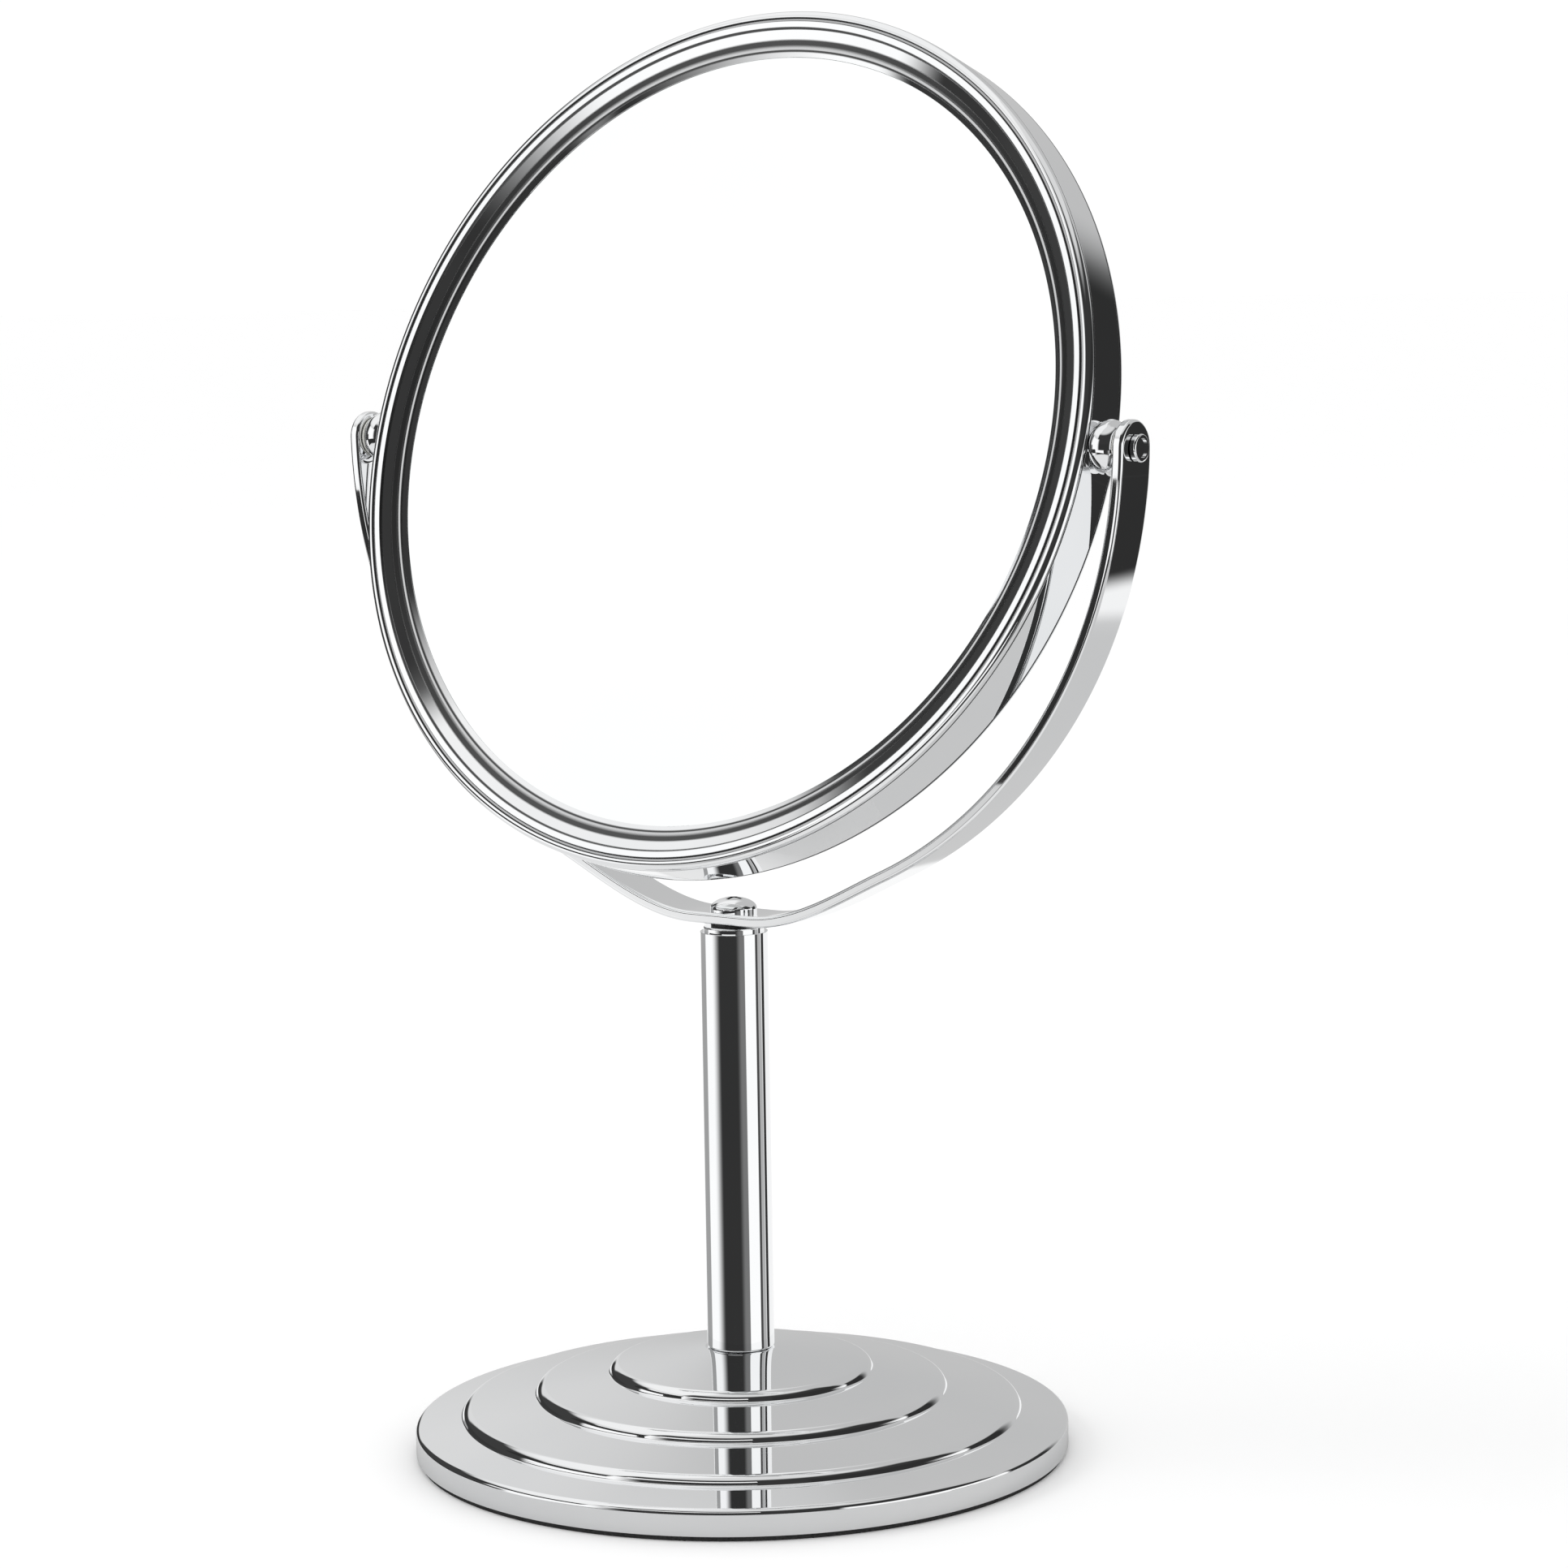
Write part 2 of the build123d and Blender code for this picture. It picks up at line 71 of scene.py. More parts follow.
def rounded_outline(corners, step_degrees=7.0, closed=True):
    """Runs along a polygon listed counterclockwise as (x, y, corner radius). Normals point out of it."""
    count = len(corners)
    entries, exits, arcs = [], [], []
    for index, (x, y, radius) in enumerate(corners):
        here = Vector((x, y))
        if radius <= 0 or (not closed and index in (0, count - 1)):
            entries.append(here)
            exits.append(here)
            arcs.append([])
            continue
        before = (here - Vector(corners[index - 1][:2])).normalized()
        after = (Vector(corners[(index + 1) % count][:2]) - here).normalized()
        turn = math.atan2(before.cross(after), before.dot(after))
        reach = radius * math.tan(abs(turn) / 2)
        entry, leave = here - before * reach, here + after * reach
        side = 1 if turn > 0 else -1
        centre = entry + Vector((-before.y, before.x)) * radius * side
        steps = max(2, math.ceil(math.degrees(abs(turn)) / step_degrees))
        points = []
        for step in range(steps + 1):
            spoke = (entry - centre) / radius
            angle = turn * step / steps
            spoke = Vector((
                spoke.x * math.cos(angle) - spoke.y * math.sin(angle),
                spoke.x * math.sin(angle) + spoke.y * math.cos(angle),
            ))
            points.append((centre + spoke * radius, spoke * side))
        entries.append(entry)
        exits.append(leave)
        arcs.append([(*points[i], *points[i + 1]) for i in range(steps)])
    runs = []
    for index in range(count):
        runs.extend(arcs[index])
        if not closed and index == count - 1:
            break
        start, end = exits[index], entries[(index + 1) % count]
        if (end - start).length > 1e-9:
            along = (end - start).normalized()
            normal = Vector((along.y, -along.x))
            runs.append((start, normal, end, normal))
    return runs


def make_mesh(name, points, faces, normals):
    """A smooth mesh from points in metres, faces, and for each face a list of its corners' normals."""
    turned, corner_normals = [], []
    for face, face_normals in zip(faces, normals):
        first, second, last = points[face[0]], points[face[1]], points[face[-1]]
        middle = points[face[len(face) // 2]]
        facing = (second - first).cross(last - first) + (middle - second).cross(first - second)
        if facing.dot(sum(face_normals, Vector())) < 0:
            face, face_normals = face[::-1], face_normals[::-1]
        turned.append(face)
        corner_normals.extend(face_normals)
    mesh = bpy.data.meshes.new(name)
    mesh.from_pydata(points, [], turned)
    mesh.shade_smooth()
    mesh.normals_split_custom_set(corner_normals)
    piece = bpy.data.objects.new(name, mesh)
    scene.collection.objects.link(piece)
    return piece


def lathe(name, outline, place, segments=256):
    """Turns an outline of (radius, height) runs, in mm, round the Z axis of a frame."""
    points, rings = [], {}
    turns = [2 * math.pi * i / segments for i in range(segments)]
    spin = place.to_3x3()

    def swing(flat, angle):
        return Vector((flat.x * math.cos(angle), flat.x * math.sin(angle), flat.y))

    def ring(point):
        key = (round(point.x, 5), round(point.y, 5))
        if key not in rings:
            first = len(points)
            on_axis = point.x < 1e-6
            angles = turns[:1] if on_axis else turns
            points.extend(place @ (swing(point, angle) * MM) for angle in angles)
            rings[key] = [first if on_axis else first + i for i in range(segments)]
        return rings[key]

    faces, normals = [], []
    for start, start_normal, end, end_normal in outline:
        if start.x < 1e-6 and end.x < 1e-6:
            continue
        low, high = ring(start), ring(end)
        for i in range(segments):
            j = (i + 1) % segments
            corners = [(low[i], start_normal, i), (low[j], start_normal, j)]
            corners += [(high[j], end_normal, j), (high[i], end_normal, i)]
            if low[i] == low[j]:
                corners.pop(0)
            if high[i] == high[j]:
                corners.pop()
            faces.append([corner[0] for corner in corners])
            normals.append([spin @ swing(normal, turns[k]) for _, normal, k in corners])
    return make_mesh(name, points, faces, normals)


# ---- Materials ----


def new_material(name):
    material = bpy.data.materials.new(name)
    material.use_nodes = True
    nodes = material.node_tree.nodes
    return material, nodes, material.node_tree.links, nodes["Principled BSDF"]


def noise(nodes, links, scale, detail=4.0, stretch=(1, 1, 1)):
    """Noise in object coordinates; scale is in cycles per metre."""
    coords = nodes.new("ShaderNodeTexCoord")
    mapping = nodes.new("ShaderNodeMapping")
    mapping.inputs["Scale"].default_value = stretch
    texture = nodes.new("ShaderNodeTexNoise")
    texture.inputs["Scale"].default_value = scale
    texture.inputs["Detail"].default_value = detail
    links.new(coords.outputs["Object"], mapping.inputs["Vector"])
    links.new(mapping.outputs["Vector"], texture.inputs["Vector"])
    return texture


def ramp(nodes, links, source, stops):
    """A colour ramp over a texture's factor; stops are (position, colour)."""
    colour_ramp = nodes.new("ShaderNodeValToRGB")
    elements = colour_ramp.color_ramp.elements
    while len(elements) < len(stops):
        elements.new(0.5)
    for element, (position, colour) in zip(elements, stops):
        element.position = position
        element.color = (*colour, 1)
    links.new(source, colour_ramp.inputs["Fac"])
    return colour_ramp


def grey(value):
    return (value, value, value)


def metal(name, dark, light, rough_low, rough_high, scale):
    """A metal whose tint drifts slightly and whose roughness varies over wipe marks and fine specks."""
    material, nodes, links, shader = new_material(name)
    shader.inputs["Metallic"].default_value = 1.0
    drift = noise(nodes, links, scale)
    tint = ramp(nodes, links, drift.outputs["Fac"], [(0.3, dark), (0.7, light)])
    links.new(tint.outputs["Color"], shader.inputs["Base Color"])
    wipes = noise(nodes, links, scale * 3.5, 6.0, (1, 1, 0.35))
    rough = ramp(nodes, links, wipes.outputs["Fac"], [(0.35, grey(rough_low)), (0.75, grey(rough_high))])
    links.new(rough.outputs["Color"], shader.inputs["Roughness"])
    return material


def matte(name, dark, light, roughness, scale, bump_height, detail=6.0):
    """A matte material with a fine surface grain."""
    material, nodes, links, shader = new_material(name)
    shader.inputs["Roughness"].default_value = roughness
    grain = noise(nodes, links, scale, detail)
    tint = ramp(nodes, links, grain.outputs["Fac"], [(0.3, dark), (0.7, light)])
    links.new(tint.outputs["Color"], shader.inputs["Base Color"])
    bump = nodes.new("ShaderNodeBump")
    bump.inputs["Strength"].default_value = 0.6
    bump.inputs["Distance"].default_value = bump_height
    links.new(grain.outputs["Fac"], bump.inputs["Height"])
    links.new(bump.outputs["Normal"], shader.inputs["Normal"])
    return material


def metal_with_painted_shade_lines(name, plain, shade_lines, joint):
    """The plain metal with painted shade lines round the head: a dark colour and a rougher finish where the chrome
    should look dark.

    The lines of painted dark reflection and painted shade are (distance from the head's axis, darkness), and joint
    gives the painted shade at the band joint as (distance from its middle plane, darkness), in mm.
    """
    material = plain.copy()
    material.name = name
    nodes, links = material.node_tree.nodes, material.node_tree.links
    shader = nodes["Principled BSDF"]

    def vector_node(operation, source, output, other=None):
        node = nodes.new("ShaderNodeVectorMath")
        node.operation = operation
        links.new(source, node.inputs[0])
        if other is not None:
            node.inputs[1].default_value = other
        return node.outputs[output]

    coords = nodes.new("ShaderNodeTexCoord")
    arm = vector_node("SUBTRACT", coords.outputs["Object"], "Vector", PIVOT)
    along = vector_node("DOT_PRODUCT", arm, "Value", FACING)
    across = vector_node("CROSS_PRODUCT", arm, "Vector", FACING)
    radius = vector_node("LENGTH", across, "Value")
    height = nodes.new("ShaderNodeMath")
    height.operation = "ABSOLUTE"
    links.new(along, height.inputs[0])

    def darkness(source, stops):
        low, high = stops[0][0], stops[-1][0]
        share = nodes.new("ShaderNodeMapRange")
        share.inputs["From Min"].default_value = low * MM
        share.inputs["From Max"].default_value = high * MM
        links.new(source, share.inputs["Value"])
        levels = [((place - low) / (high - low), grey(level)) for place, level in stops]
        return ramp(nodes, links, share.outputs["Result"], levels).outputs["Color"]

    mask = nodes.new("ShaderNodeMath")
    mask.operation = "MAXIMUM"
    links.new(darkness(radius, shade_lines), mask.inputs[0])
    links.new(darkness(height.outputs[0], joint), mask.inputs[1])
    # Paints the shade lines in: a darker colour and a rougher finish where the mask is high.
    for socket, dark in (("Base Color", PAINTED_SHADE_COLOUR), ("Roughness", PAINTED_SHADE_ROUGHNESS)):
        mix = nodes.new("ShaderNodeMix")
        mix.data_type = "RGBA"
        links.new(mask.outputs[0], mix.inputs["Factor"])
        links.new(shader.inputs[socket].links[0].from_socket, mix.inputs["A"])
        mix.inputs["B"].default_value = (*grey(dark), 1)
        links.new(mix.outputs["Result"], shader.inputs[socket])
    return material


# Painted dark reflections as lines at the bezel's lip and at its step, and painted shade in its groove and at its
# joint with the band.
BEZEL_PAINTED_SHADE_LINES = [
    (88.0, 0.0), (89.65, 0.0), (89.9, 0.9), (90.2, 0.9), (90.4, 0.0),
    (94.4, 0.0), (94.55, 0.9), (94.85, 0.9), (95.0, 0.0),
    (96.2, 0.0), (96.35, 1.0), (96.55, 0.5), (96.9, 0.5), (97.1, 1.0), (97.25, 0.0), (100.0, 0.0),
]
BEZEL_JOINT_PAINTED_SHADE = [(4.8, 0.0), (5.2, 0.9), (5.55, 0.9), (5.7, 0.0), (8.0, 0.0)]
PAINTED_SHADE_COLOUR = 0.015
PAINTED_SHADE_ROUGHNESS = 0.4

chrome = metal("chrome", (0.86, 0.87, 0.88), (0.91, 0.915, 0.92), 0.012, 0.035, 18.0)
# The bezels' chrome, with painted shade lines in its colour.
bezel_chrome_painted_shade = metal_with_painted_shade_lines("bezel_chrome_painted_shade", chrome, BEZEL_PAINTED_SHADE_LINES, BEZEL_JOINT_PAINTED_SHADE)
silvered = metal("silvered_glass", (0.90, 0.915, 0.915), (0.94, 0.95, 0.95), 0.0, 0.012, 9.0)
zinc = metal("zinc", (0.52, 0.53, 0.55), (0.68, 0.69, 0.70), 0.25, 0.42, 160.0)
iron = matte("cast_iron", (0.07, 0.07, 0.075), (0.15, 0.148, 0.145), 0.75, 900.0, 0.0003)
foam = matte("black_foam", (0.010, 0.010, 0.010), (0.035, 0.035, 0.035), 0.95, 2600.0, 0.00015)
black_plastic = matte("black_plastic", (0.012, 0.012, 0.012), (0.03, 0.03, 0.03), 0.5, 1800.0, 0.00004)
nylon = matte("nylon", (0.72, 0.72, 0.68), (0.82, 0.82, 0.78), 0.45, 1200.0, 0.00003)
card = matte("grey_card", (0.34, 0.33, 0.31), (0.50, 0.49, 0.46), 0.9, 700.0, 0.00008)

FINISHES = {
    "polished_chrome": chrome,
    "silvered_glass": silvered,
    "black_foam": foam,
    "black_plastic": black_plastic,
    "white_nylon": nylon,
    "zinc_steel": zinc,
    "cast_iron": iron,
    "grey_card": card,
}
slot_of = {part["node"]: part["material_slot"] for part in frame["record"]["subparts"]}
body_of_node = {
    node: body for body, nodes in frame["record"]["behaviour"]["bodies"].items() for node in nodes
}


def dress(piece, material):
    piece.data.materials.clear()
    piece.data.materials.append(material)


for node, cad_object in frame["nodes"].items():
    for material_slot in cad_object.material_slots:
        material_slot.material = FINISHES[slot_of[node]]


def stand_for(piece, node, finish=None):
    """The piece takes a node's place and body, and the finish of the node's slot unless another is given."""
    dress(piece, FINISHES[slot_of[node]] if finish is None else finish)
    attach(piece, body_of_node[node])
    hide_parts(node)


# ---- Stand ----
BASE_RADIUS = node_high("base_shell").x / MM
PAD_TOP = node_high("base_pad").z / MM
SEAT = node_low("stem_tube").z / MM
RIM_TOP = 7.0
RISER_DRAFT = 0.7
RISERS = (64.3, 47.3, 30.3)
RISER_HEIGHT = 2.0
RIM_SLOPE = 0.19
SHEET = 1.0
STEM_RADIUS = node_high("stem_tube").x / MM
SEAT_RADIUS = 8.2
BOLT_HOLE = 3.2
TUBE_WALL = 1.2
BASE_SEGMENTS, TUBE_SEGMENTS = 384, 192
tread_rise = SEAT - RIM_TOP - RIM_SLOPE * (BASE_RADIUS - RISERS[0]) - 3 * RISER_HEIGHT
TREAD_SLOPE = tread_rise / (RISERS[0] - SEAT_RADIUS - 3 * RISER_DRAFT)


def stepped_corners(inset, rim_round, crest_round, foot_round):
    """Corners of the base's stepped outline from the rim's foot to the stem, moved inwards by inset."""
    height = RIM_TOP - inset
    start = BASE_RADIUS - inset
    slope = RIM_SLOPE
    corners = [(start, PAD_TOP, 0.0), (start, height, rim_round)]
    for radius in RISERS:
        stop = radius - inset
        height += slope * (start - stop)
        slope = TREAD_SLOPE
        corners.append((stop, height, foot_round))
        start = stop - RISER_DRAFT
        height += RISER_HEIGHT
        corners.append((start, height, crest_round))
    height += TREAD_SLOPE * (start - SEAT_RADIUS)
    corners.append((SEAT_RADIUS, height, 0.0))
    return corners


outside = stepped_corners(inset=0.0, rim_round=1.3, crest_round=2.4, foot_round=0.6)
inside = stepped_corners(inset=SHEET, rim_round=0.5, crest_round=0.5, foot_round=0.35)
seat_top = outside[-1][1]
seat_under = inside[-1][1]
shell_corners = outside + [(BOLT_HOLE, seat_top, 0.0), (BOLT_HOLE, seat_under, 0.0)] + inside[::-1]
base_cover = lathe("base_cover", rounded_outline(shell_corners), Matrix.Identity(4), BASE_SEGMENTS)
stand_for(base_cover, "base_shell")

tube_bottom, tube_top = SEAT, node_high("stem_tube").z / MM
tube_inner = STEM_RADIUS - TUBE_WALL
tube = lathe(
    "polished_tube",
    rounded_outline([
        (tube_inner, tube_bottom, 0.0),
        (STEM_RADIUS, tube_bottom, 0.7),
        (STEM_RADIUS, tube_top, 0.1),
        (tube_inner, tube_top, 0.0),
    ]),
    Matrix.Identity(4),
    TUBE_SEGMENTS,
)
stand_for(tube, "stem_tube")

# Yoke path in the XZ plane: a round-ended straight arm, an arc, a shallow bend and a flat.
STRIP_THICK = 2.6
STRIP_ROUND = 0.8
HALF_WIDE = node_high("yoke").y / MM
ARM_X = node_high("yoke").x / MM - STRIP_THICK / 2
PIVOT_Z = PIVOT.z / MM
ARC_Z = PIVOT_Z + 2.0  # the arc's centre sits a little above the pivots
FLAT_Z = node_low("yoke").z / MM + STRIP_THICK / 2
BEND_X = 45.0
FLAT_X = 8.0


def half_path():
    """Places and tangents, as (x, z), from the middle of the flat to the tip of the right arm."""
    start_angle = -math.acos(BEND_X / ARM_X)
    flat_end = Vector((FLAT_X, FLAT_Z))
    bend_end = Vector((BEND_X, ARC_Z + ARM_X * math.sin(start_angle)))
    flat_way = Vector((1, 0))
    bend_way = Vector((-math.sin(start_angle), math.cos(start_angle)))
    reach = (bend_end - flat_end).length
    stations = [(Vector((0, FLAT_Z)), flat_way), (flat_end, flat_way)]
    bend_steps, arc_steps = 48, 160
    for step in range(1, bend_steps):
        t = step / bend_steps
        place = (2 * t**3 - 3 * t**2 + 1) * flat_end + (3 * t**2 - 2 * t**3) * bend_end
        place += reach * ((t**3 - 2 * t**2 + t) * flat_way + (t**3 - t**2) * bend_way)
        rate = (6 * t**2 - 6 * t) * (flat_end - bend_end)
        rate += reach * ((3 * t**2 - 4 * t + 1) * flat_way + (3 * t**2 - 2 * t) * bend_way)
        stations.append((place, rate.normalized()))
    for step in range(arc_steps + 1):
        angle = start_angle * (1 - step / arc_steps)
        place = Vector((ARM_X * math.cos(angle), ARC_Z + ARM_X * math.sin(angle)))
        stations.append((place, Vector((-math.sin(angle), math.cos(angle)))))
    stations.append((Vector((ARM_X, PIVOT_Z + HALF_WIDE)), Vector((0, 1))))
    return stations


class BentStrip:
    """A flat strip's points (along, across, up) carried onto the yoke's bent path."""

    def __init__(self):
        right_half = half_path()
        left_half = [(Vector((-place.x, place.y)), Vector((way.x, -way.y))) for place, way in right_half[:0:-1]]
        self.path = left_half + right_half
        self.lengths = [0.0]
        for (before, _), (after, _) in zip(self.path, self.path[1:]):
            self.lengths.append(self.lengths[-1] + (after - before).length)
        self.total = self.lengths[-1]

    def at(self, along):
        along = min(max(along, 0.0), self.total)
        index = min(bisect.bisect_right(self.lengths, along), len(self.lengths) - 1)
        span = self.lengths[index] - self.lengths[index - 1]
        share = (along - self.lengths[index - 1]) / span
        place = self.path[index - 1][0].lerp(self.path[index][0], share)
        way = self.path[index - 1][1].lerp(self.path[index][1], share).normalized()
        return place, way

    def point(self, along, across, up):
        place, way = self.at(along)
        return Vector((place.x + up * way.y, across, place.y - up * way.x)) * MM

    def direction(self, along, ahead, sideways, outward):
        _, way = self.at(along)
        return Vector((ahead * way.x + outward * way.y, sideways, ahead * way.y - outward * way.x))


def strip_sides(total):
    """One long side of the strip's outline, tip to tip: (end centre or place, outline normal along, across)."""
    end_steps, spacing = 20, 1.0
    near, far = HALF_WIDE, total - HALF_WIDE
    side = []
    for step in range(end_steps):
        angle = math.pi / 2 * step / end_steps
        side.append((near, -math.cos(angle), math.sin(angle)))
    count = math.ceil((far - near) / spacing)
    side.extend((near + (far - near) * step / count, 0.0, 1.0) for step in range(count + 1))
    for step in range(end_steps - 1, -1, -1):
        angle = math.pi / 2 * step / end_steps
        side.append((far, math.cos(angle), math.sin(angle)))
    return side


def strip_edge():
    """The rounded edge from the outer face to the inner one: (inset, rise, outward share, upward share)."""
    steps = 7
    flat_half = STRIP_THICK / 2 - STRIP_ROUND
    edge = []
    for step in range(steps + 1):
        angle = math.pi / 2 * step / steps
        out, up = math.sin(angle), math.cos(angle)
        edge.append((STRIP_ROUND * (1 - out), flat_half + STRIP_ROUND * up, out, up))
    return edge + [(inset, -rise, out, -up) for inset, rise, out, up in edge[::-1]]


def make_yoke(name):
    strip = BentStrip()
    side, edge = strip_sides(strip.total), strip_edge()
    outline = [(centre, ahead, across) for centre, ahead, across in side]
    outline += [(centre, ahead, -across) for centre, ahead, across in side[-2:0:-1]]
    points, faces, normals = [], [], []

    def place(station, inset, rise):
        centre, ahead, across = station
        reach = HALF_WIDE - inset
        return centre + reach * ahead, reach * across, rise

    for inset, rise, _, _ in edge:
        points.extend(strip.point(*place(station, inset, rise)) for station in outline)
    count = len(outline)
    for row in range(len(edge) - 1):
        for i in range(count):
            j = (i + 1) % count
            corners = [(row, i), (row, j), (row + 1, j), (row + 1, i)]
            faces.append([k * count + station for k, station in corners])
            face_normals = []
            for k, station in corners:
                _, ahead, across = outline[station]
                inset, rise, out, up = edge[k]
                along = place(outline[station], inset, rise)[0]
                face_normals.append(strip.direction(along, out * ahead, out * across, up))
            normals.append(face_normals)
    for row, up in ((0, 1), (len(edge) - 1, -1)):
        inset, rise = edge[row][:2]
        for i in range(len(side) - 1):
            loop = [i, i + 1, (count - i - 1) % count, (count - i) % count]
            loop = list(dict.fromkeys(loop))
            faces.append([row * count + station for station in loop])
            alongs = [place(outline[station], inset, rise)[0] for station in loop]
            normals.append([strip.direction(along, 0, 0, up) for along in alongs])
    return make_mesh(name, points, faces, normals)


yoke = make_yoke("yoke_strip")
stand_for(yoke, "yoke")

# ---- Mirror head ----
RING_RADIUS = node_high("ring_band").x / MM
BAND_HALF = 5.2
BAND_THICK = 0.8
GLASS_RADIUS = node_high("front_glass").x / MM
GLASS_FACE = 4.05
GLASS_THICK = 2.0
RING_SEGMENTS = 360


def bezel_corners():
    """Counterclockwise section of the front bezel: (radius, height, corner radius)."""
    skirt = RING_RADIUS - BAND_THICK - 0.02
    return [
        (RING_RADIUS, 5.3, 0.1),
        (RING_RADIUS, 7.0, 1.5),
        (97.2, 7.03, 0.1),
        (96.95, 6.5, 0.08),
        (96.5, 6.5, 0.08),
        (96.25, 7.03, 0.1),
        (94.9, 6.98, 0.25),
        (94.5, 6.45, 0.2),
        (90.75, 4.98, 0.15),
        (90.2, 4.96, 1.4),
        (88.75, 4.22, 0.08),
        (88.6, 4.1, 0.05),
        (90.4, 4.1, 0.0),
        (94.4, 5.75, 0.0),
        (94.9, 6.3, 0.0),
        (skirt - 0.7, 6.3, 0.0),
        (skirt - 0.7, 3.4, 0.0),
        (skirt, 3.4, 0.0),
        (skirt, 5.3, 0.0),
    ]


def turned_over(corners):
    return [(radius, -height, rounding) for radius, height, rounding in corners[::-1]]


front_bezel = lathe("front_rim", rounded_outline(bezel_corners()), RING_FRAME, RING_SEGMENTS)
stand_for(front_bezel, "front_bezel", bezel_chrome_painted_shade)
back_bezel = lathe("back_rim", rounded_outline(turned_over(bezel_corners())), RING_FRAME, RING_SEGMENTS)
stand_for(back_bezel, "back_bezel", bezel_chrome_painted_shade)
band = lathe(
    "rim_band",
    rounded_outline([
        (RING_RADIUS - BAND_THICK, -BAND_HALF, 0.0),
        (RING_RADIUS, -BAND_HALF, 0.1),
        (RING_RADIUS, BAND_HALF, 0.1),
        (RING_RADIUS - BAND_THICK, BAND_HALF, 0.0),
    ]),
    RING_FRAME,
    RING_SEGMENTS,
)
stand_for(band, "ring_band")
front_glass = lathe(
    "front_mirror",
    rounded_outline([
        (0.0, GLASS_FACE - GLASS_THICK, 0.0),
        (GLASS_RADIUS, GLASS_FACE - GLASS_THICK, 0.15),
        (GLASS_RADIUS, GLASS_FACE, 0.15),
        (0.0, GLASS_FACE, 0.0),
    ]),
    RING_FRAME,
    RING_SEGMENTS,
)
stand_for(front_glass, "front_glass")

BACK_CURVE = 1300.0
BACK_THICK = 1.8


def bent_glass_outline(rings=24):
    """Runs of the bent glass: its hollow outer face, its edge and its inner face."""
    rise = math.sqrt(BACK_CURVE**2 - GLASS_RADIUS**2)
    radii = [GLASS_RADIUS * step / rings for step in range(rings + 1)]

    def face_point(radius, lift):
        sphere_height = math.sqrt(BACK_CURVE**2 - radius**2)
        place = Vector((radius, sphere_height - rise - GLASS_FACE + lift))
        return place, Vector((radius, sphere_height)) / BACK_CURVE

    runs = []
    for before, after in zip(radii, radii[1:]):
        (start, start_normal), (end, end_normal) = face_point(before, 0.0), face_point(after, 0.0)
        runs.append((start, -start_normal, end, -end_normal))
    outwards = Vector((1, 0))
    edge_start = Vector((GLASS_RADIUS, -GLASS_FACE))
    edge_end = Vector((GLASS_RADIUS, BACK_THICK - GLASS_FACE))
    runs.append((edge_start, outwards, edge_end, outwards))
    for before, after in zip(radii[::-1], radii[-2::-1]):
        (start, start_normal), (end, end_normal) = face_point(before, BACK_THICK), face_point(after, BACK_THICK)
        runs.append((start, start_normal, end, end_normal))
    return runs


back_glass = lathe("back_mirror", bent_glass_outline(), RING_FRAME, RING_SEGMENTS)
stand_for(back_glass, "back_glass")

# ---- Studio ----
AZIMUTH = math.radians(36.47)
ROOM_LIGHT = 1.08
FLOOR_LEVEL = 0.95
BACKDROP_LEVEL = 1.03
BASE_LEVEL = 0.76
# Soft boxes, cards and dark gaps, mixed in this order over the room's base level. Bearings are in degrees
# clockwise from the camera's side of the object, seen from above; elevations are in degrees.
PATCHES = [
    # (name, bearing from, to, softness before, after, elevation from, to, softness below, above, level)
    ("right_wall", 96, 186, 20, 14, -20, 75, 8, 10, 0.56),
    ("pale_floor", -185, 25, 20, 30, -95, -24, 1, 6, 0.85),
    ("grey_floor", 25, 175, 30, 12, -95, -24, 1, 5, 0.62),
    ("overhead_box", -190, -52, 16, 10, 40, 95, 10, 1, 0.97),
    ("camera_gap", -84, 34, 12, 3, -24, 19, 3, 3, 0.035),
    ("upper_gap", -58, 98, 8, 10, 14, 54, 3, 12, 0.04),
    ("left_box", -104, -48, 5, 14, -7, 33, 3, 4, 1.1),
    ("left_low_box", -114, -67, 4, 34, -24, -7, 2, 3, 1.1),
    ("left_shade", -157, -115, 5, 4, -24, -8, 2, 3, 0.38),
    ("gap_glow", 14, 36, 18, 2, -24, -8, 2, 3, 0.2),
    ("right_gap", 28, 98, 5, 8, 12, 34, 4, 4, 0.03),
    ("right_box", 35.5, 104, 3, 4, -24, 11, 2, 4, 1.1),
    ("right_frame", 76, 87, 2, 3, -24, -8, 2, 2, 0.07),
    ("right_shade", 87, 102, 2, 6, -24, -8, 2, 2, 0.48),
    ("back_low_box", 118, 203, 2, 5, -24, -8, 2, 2, 1.0),
    ("right_side_gap", 104, 136, 3, 16, -8, 19, 2, 5, 0.03),
    ("right_low_gap", 104.5, 118, 2, 2, -21, -7, 4, 1, 0.03),
    ("left_back_gap", -167, -89, 5, 6, -8, 9, 2, 5, 0.04),
    ("left_back_upper_gap", -153, -99, 6, 5, 4, 35, 3, 6, 0.05),
]
SECOND_GLANCE = math.radians(-14.0)
STEEP_GLANCE = math.radians(40.0)
FIRST_REFLECTION_DEPTH = 2
FLOOR_RADIUS = 30.0
TABLE_RADIUS, TABLE_HEIGHT, TABLE_LEVEL = 0.1, 0.0001, 0.62


